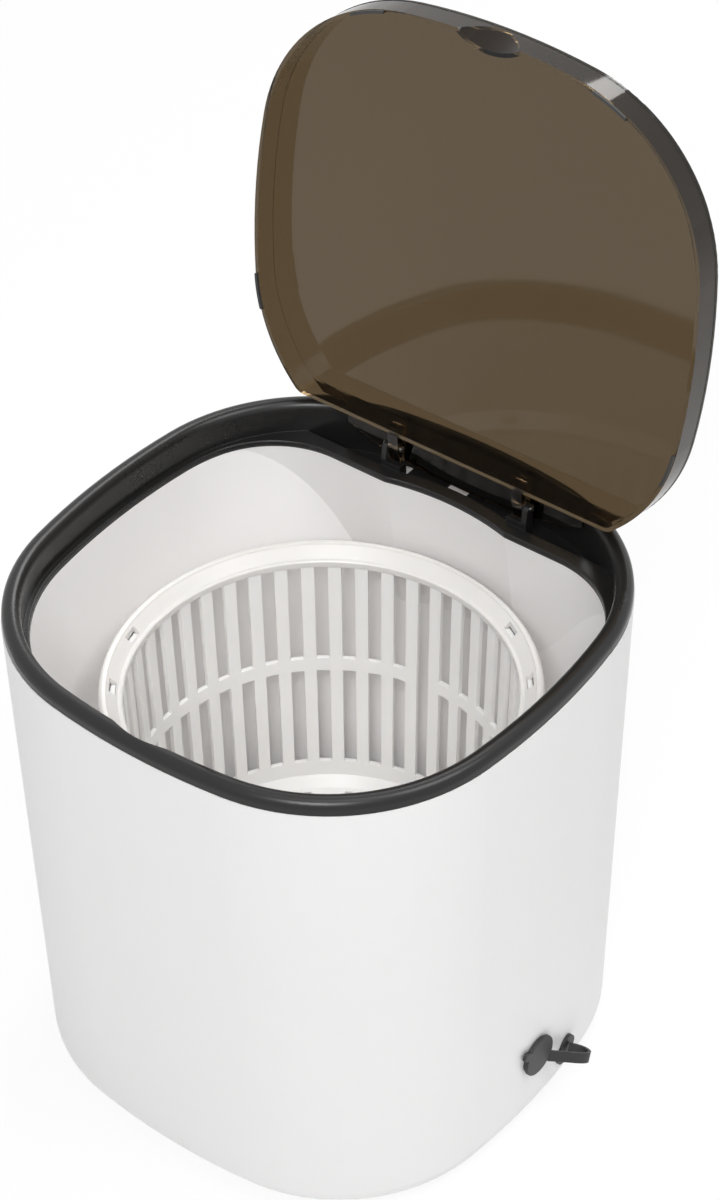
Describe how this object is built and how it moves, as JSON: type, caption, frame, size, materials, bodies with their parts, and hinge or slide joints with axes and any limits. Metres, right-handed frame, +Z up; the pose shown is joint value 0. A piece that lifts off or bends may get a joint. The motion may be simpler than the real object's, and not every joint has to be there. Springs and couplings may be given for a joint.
{
  "type": "portable washing machine",
  "caption": "Bucket-shaped portable washing machine with a smoked lid open at the back, a lift-out spin basket in a tub, and a tethered drain plug low on the side.",
  "frame": {"origin": "centre of the foot ring's flat underside, on the surface that the machine stands on", "axes": "+Z up, -Y to the front with the finger notch, +X to the side with the drain plug, the lid's hinge at +Y"},
  "size_m": [0.28, 0.2799, 0.5079],
  "materials": {
    "shell": "satin gloss",
    "rim": "satin charcoal",
    "tub": "gloss",
    "basket": "gloss",
    "pulsator": "gloss",
    "lid": "clear smoked",
    "pan": "matt",
    "rubber": "matt",
    "plug": "matt",
    "belt": "matt",
    "screw": "zinc plated",
    "shaft": "ground",
    "bearing": "polished",
    "motor": "plated can",
    "bracket": "zinc plated",
    "housing": "matt",
    "sump": "matt",
    "pulley": "matt",
    "socket": "matt",
    "board": "lacquered",
    "bezel": "satin",
    "button": "satin",
    "switch": "matt",
    "lead": "matt"
  },
  "bodies": {
    "casing": {"outer_shell": "shell", "top_rim": "rim", "rim_gasket": "rubber", "wash_tub": "tub", "base_pan": "pan", "foot_ring": "rubber", "base_screws": "screw", "bearing_housing": "housing", "upper_bearing": "bearing", "lower_bearing": "bearing", "shaft_seal": "rubber", "motor_can": "motor", "motor_bracket": "bracket", "drive_screws": "screw", "drive_belt": "belt", "drain_sump": "sump", "drain_grommet": "rubber", "plug_strap": "plug", "plug_anchor": "plug", "dc_socket": "socket", "control_board": "board", "button_bezel": "bezel", "tact_switch": "switch", "supply_lead": "lead", "motor_lead": "lead", "hinge_pins": "shaft"},
    "lid": {"lid_panel": "lid", "lid_bumpers": "rubber"},
    "pulsator": {"pulsator": "pulsator", "pulsator_screw": "screw", "drive_shaft": "shaft", "circlip": "shaft", "shaft_pulley": "pulley", "pulley_nut": "screw"},
    "basket": {"spin_basket": "basket", "basket_ring": "basket"},
    "motor_rotor": {"motor_shaft": "shaft", "motor_pulley": "pulley"},
    "plug": {"drain_plug": "plug"},
    "button": {"power_button": "button", "switch_plunger": "switch"}
  },
  "joints": [
    {"name": "lid_hinge", "type": "hinge", "parent": "casing", "child": "lid", "pos_m": [0, 0.1093, 0.2753], "axis": [1, 0, 0], "range_deg": [0, 97.3]},
    {"name": "pulsator_spin", "type": "hinge", "parent": "casing", "child": "pulsator", "pos_m": [0, 0, 0], "axis": [0, 0, 1], "continuous": true},
    {"name": "motor_spin", "type": "hinge", "parent": "casing", "child": "motor_rotor", "pos_m": [-0.048, -0.042, 0], "axis": [0, 0, 1], "continuous": true},
    {"name": "basket_lift", "type": "slide", "parent": "pulsator", "child": "basket", "axis": [0, 0, 1], "range_m": [0, 0.011]},
    {"name": "plug_pull", "type": "slide", "parent": "casing", "child": "plug", "axis": [1, 0, 0], "range_m": [0, 0.022], "deforming": ["plug_strap"]},
    {"name": "button_press", "type": "slide", "parent": "casing", "child": "button", "axis": [1, 0, 0], "range_m": [0, 0.0012], "stiffness_N_per_m": 800}
  ],
  "couplings": [
    {"joint": "motor_spin", "follows": "pulsator_spin", "ratio": 3.5556}
  ]
}
